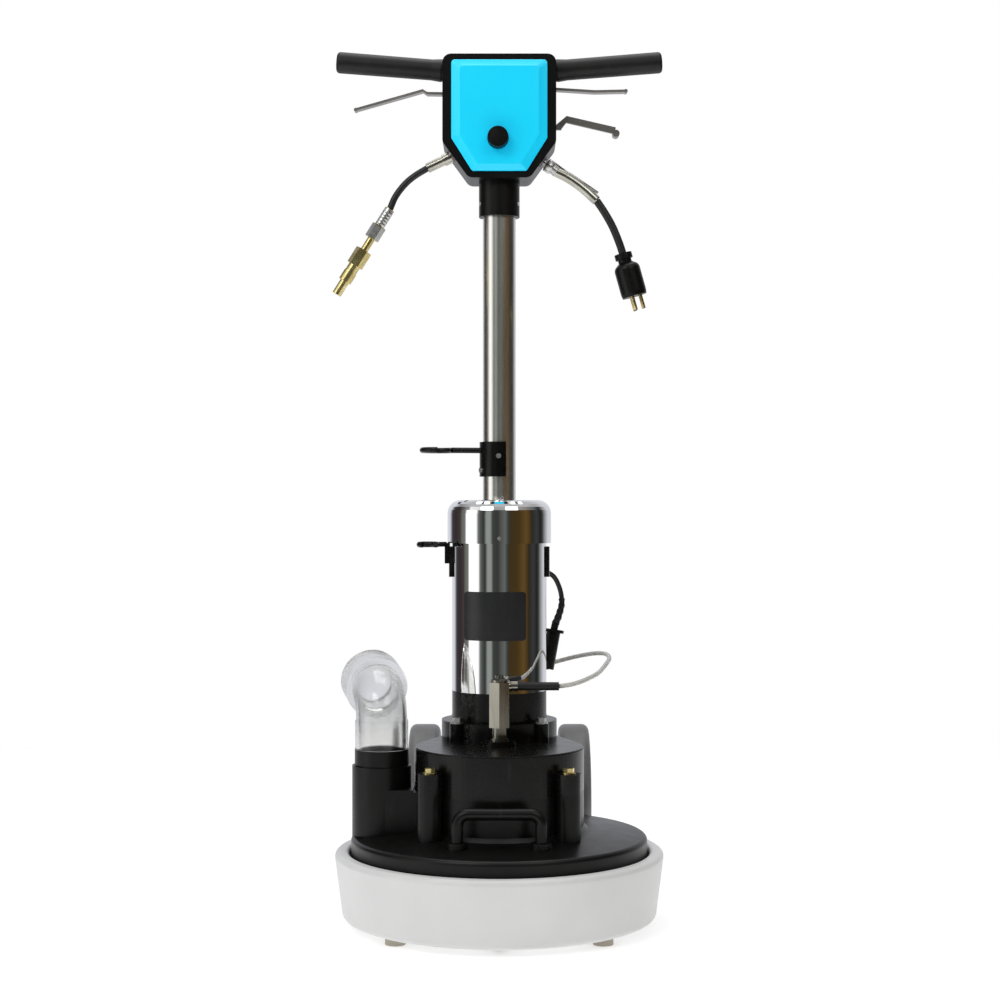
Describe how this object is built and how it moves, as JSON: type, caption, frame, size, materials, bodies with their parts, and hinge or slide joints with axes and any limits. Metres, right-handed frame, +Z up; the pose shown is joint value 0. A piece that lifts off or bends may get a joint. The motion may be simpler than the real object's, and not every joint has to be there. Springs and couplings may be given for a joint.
{
  "type": "rotary floor machine",
  "caption": "Upright rotary hot-water extraction floor machine: chromed motor over a round spinning head, tilting handle with levers, transport wheels, clear vacuum elbow.",
  "frame": {"origin": "on the floor, under the middle of the machine's overall length and width", "axes": "+X to the operator's right as seen from the front, +Y back towards the operator side and the wheels, +Z up"},
  "size_m": [0.4672, 0.624, 1.1844],
  "materials": {
    "white_plastic": "satin moulded polyethylene",
    "black_cast": "black textured paint",
    "black_plastic": "black moulded plastic",
    "steel": "zinc plated",
    "stainless": "machined stainless",
    "chrome": "polished chrome",
    "brass": "bright brass",
    "black_rubber": "soft black rubber",
    "tyre": "grey-black tread",
    "white_hose": "translucent fluoropolymer hose",
    "clear": "clear PVC",
    "blue": "bright blue moulded cover",
    "iron": "dark iron",
    "copper": "copper windings",
    "feet": "beige nylon",
    "board": "green laminate"
  },
  "bodies": {
    "base": {"vacuum_housing": "black_plastic", "gear_plate": "black_cast", "gearcase": "black_cast", "housing_bolts": "brass", "bearings": "steel", "seal_cap": "black_cast", "rotary_union": "stainless", "hose_sleeve": "black_rubber", "union_hose": "white_hose", "motor_flange": "black_cast", "machine_screws": "steel", "motor_end_bell": "black_cast", "motor_shell": "chrome", "motor_cap": "chrome", "magnets": "iron", "motor_band": "black_cast", "lower_hose_hook": "black_cast", "motor_lead": "black_rubber", "motor_connector": "black_plastic", "rear_frame": "black_cast", "axle": "steel", "tilt_pin": "steel", "carry_handle": "black_plastic"},
    "rotor": {"rotor_head": "white_plastic", "rotor_shaft": "steel", "drive_gear": "iron", "spray_jets": "brass", "vacuum_shoes": "stainless", "glide_feet": "feet"},
    "armature": {"armature_core": "copper", "pinion_shaft": "steel"},
    "left_wheel": {"left_tyre": "tyre", "left_hub": "black_plastic"},
    "right_wheel": {"right_tyre": "tyre", "right_hub": "black_plastic"},
    "handle": {"handle_foot": "black_cast", "handle_tube": "chrome", "tube_collar": "black_plastic", "handle_screws": "steel", "control_box": "black_plastic", "front_cover": "blue", "handlebar": "steel", "left_grip": "black_rubber", "right_grip": "black_rubber", "upper_hose_hook": "black_cast", "hose_nipple": "brass", "control_board": "board", "solution_valve": "brass", "strain_relief": "chrome", "power_cord": "black_rubber", "power_plug": "black_plastic", "hose_fitting": "steel", "solution_hose": "black_rubber", "hose_coupler": "brass"},
    "elbow": {"vacuum_elbow": "clear"},
    "knob": {"speed_knob": "black_plastic"},
    "solution_trigger": {"solution_lever": "steel"},
    "switch_trigger": {"switch_lever": "steel"},
    "tilt_release": {"tilt_lever": "steel"},
    "brake": {"brake_rod": "steel"}
  },
  "joints": [
    {"name": "rotor_spin", "type": "hinge", "parent": "base", "child": "rotor", "pos_m": [0, -0.098, 0.1], "axis": [0, 0, 1], "continuous": true},
    {"name": "armature_spin", "type": "hinge", "parent": "base", "child": "armature", "pos_m": [0, -0.002, 0.3], "axis": [0, 0, 1], "continuous": true},
    {"name": "left_wheel_spin", "type": "hinge", "parent": "base", "child": "left_wheel", "pos_m": [-0.109, 0.207, 0.115], "axis": [1, 0, 0], "continuous": true},
    {"name": "right_wheel_spin", "type": "hinge", "parent": "base", "child": "right_wheel", "pos_m": [0.109, 0.207, 0.115], "axis": [1, 0, 0], "continuous": true},
    {"name": "elbow_swivel", "type": "hinge", "parent": "base", "child": "elbow", "pos_m": [-0.1536, -0.098, 0.22], "axis": [0, 0, 1], "range_deg": [-30, 75]},
    {"name": "handle_tilt", "type": "hinge", "parent": "base", "child": "handle", "pos_m": [0, 0.107, 0.15], "axis": [-1, 0, 0], "range_deg": [0, 55]},
    {"name": "knob_turn", "type": "hinge", "parent": "handle", "child": "knob", "pos_m": [-0.0018, 0.05, 1.053], "axis": [0, 1, 0], "range_deg": [0, 270]},
    {"name": "solution_squeeze", "type": "hinge", "parent": "handle", "child": "solution_trigger", "pos_m": [-0.068, 0.107, 1.1245], "axis": [0, 1, 0], "range_deg": [0, 14], "stiffness_Nm_per_rad": 1.5},
    {"name": "switch_squeeze", "type": "hinge", "parent": "handle", "child": "switch_trigger", "pos_m": [0.068, 0.107, 1.131], "axis": [0, -1, 0], "range_deg": [0, 8], "stiffness_Nm_per_rad": 1.5},
    {"name": "tilt_squeeze", "type": "hinge", "parent": "handle", "child": "tilt_release", "pos_m": [0.062, 0.107, 1.077], "axis": [0, -1, 0], "range_deg": [0, 6], "stiffness_Nm_per_rad": 4},
    {"name": "brake_slide", "type": "slide", "parent": "handle", "child": "brake", "axis": [0, 0, -1], "range_m": [0, 0.0065]}
  ],
  "couplings": [
    {"joint": "armature_spin", "follows": "rotor_spin", "ratio": -4.3333},
    {"joint": "brake_slide", "follows": "tilt_squeeze", "m_per_rad": 0.062}
  ]
}
